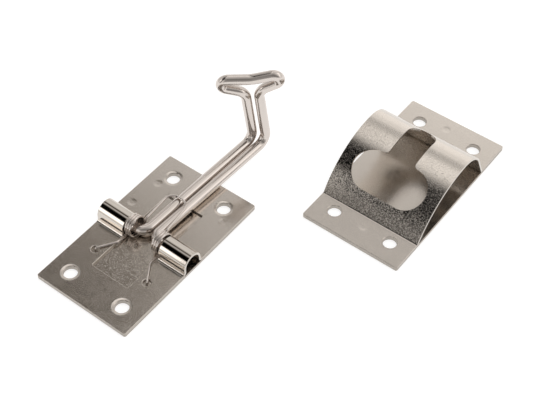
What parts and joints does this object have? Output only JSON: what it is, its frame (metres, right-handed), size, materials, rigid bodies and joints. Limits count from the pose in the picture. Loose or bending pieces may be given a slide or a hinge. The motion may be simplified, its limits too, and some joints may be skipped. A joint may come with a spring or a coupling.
{
  "type": "door holder",
  "caption": "Sprung wire hook with a T-shaped head on a screw-down plate, and an arched strap with a keyhole that catches the head and holds a door open.",
  "frame": {"origin": "middle of the hook half's underside, which is also the middle of its four screw holes", "axes": "+Z points away from the wall, +Y runs along the hook half from the pivot towards the resting hook's knee, +X runs along the pivot towards the catch half"},
  "size_m": [0.1192, 0.1852, 0.0526],
  "materials": {
    "plate_steel": "bright stainless sheet, satin",
    "wire_steel": "polished stainless rod",
    "spring_steel": "polished stainless spring wire",
    "catch_steel": "bright stainless sheet, satin"
  },
  "bodies": {
    "plates": {"hook_back_plate": "plate_steel", "hook_front_plate": "plate_steel", "torsion_spring": "spring_steel", "catch_back_plate": "catch_steel", "catch_arch": "catch_steel"},
    "hook": {"hook_wire": "wire_steel"}
  },
  "joints": [
    {"name": "hook_swing", "type": "hinge", "parent": "plates", "child": "hook", "pos_m": [0, 0, 0.0048], "axis": [0.999, -0.0436, 0], "range_deg": [0, 120], "stiffness_Nm_per_rad": 0.03, "springref_deg": -85.94, "deforming": ["torsion_spring"]}
  ]
}
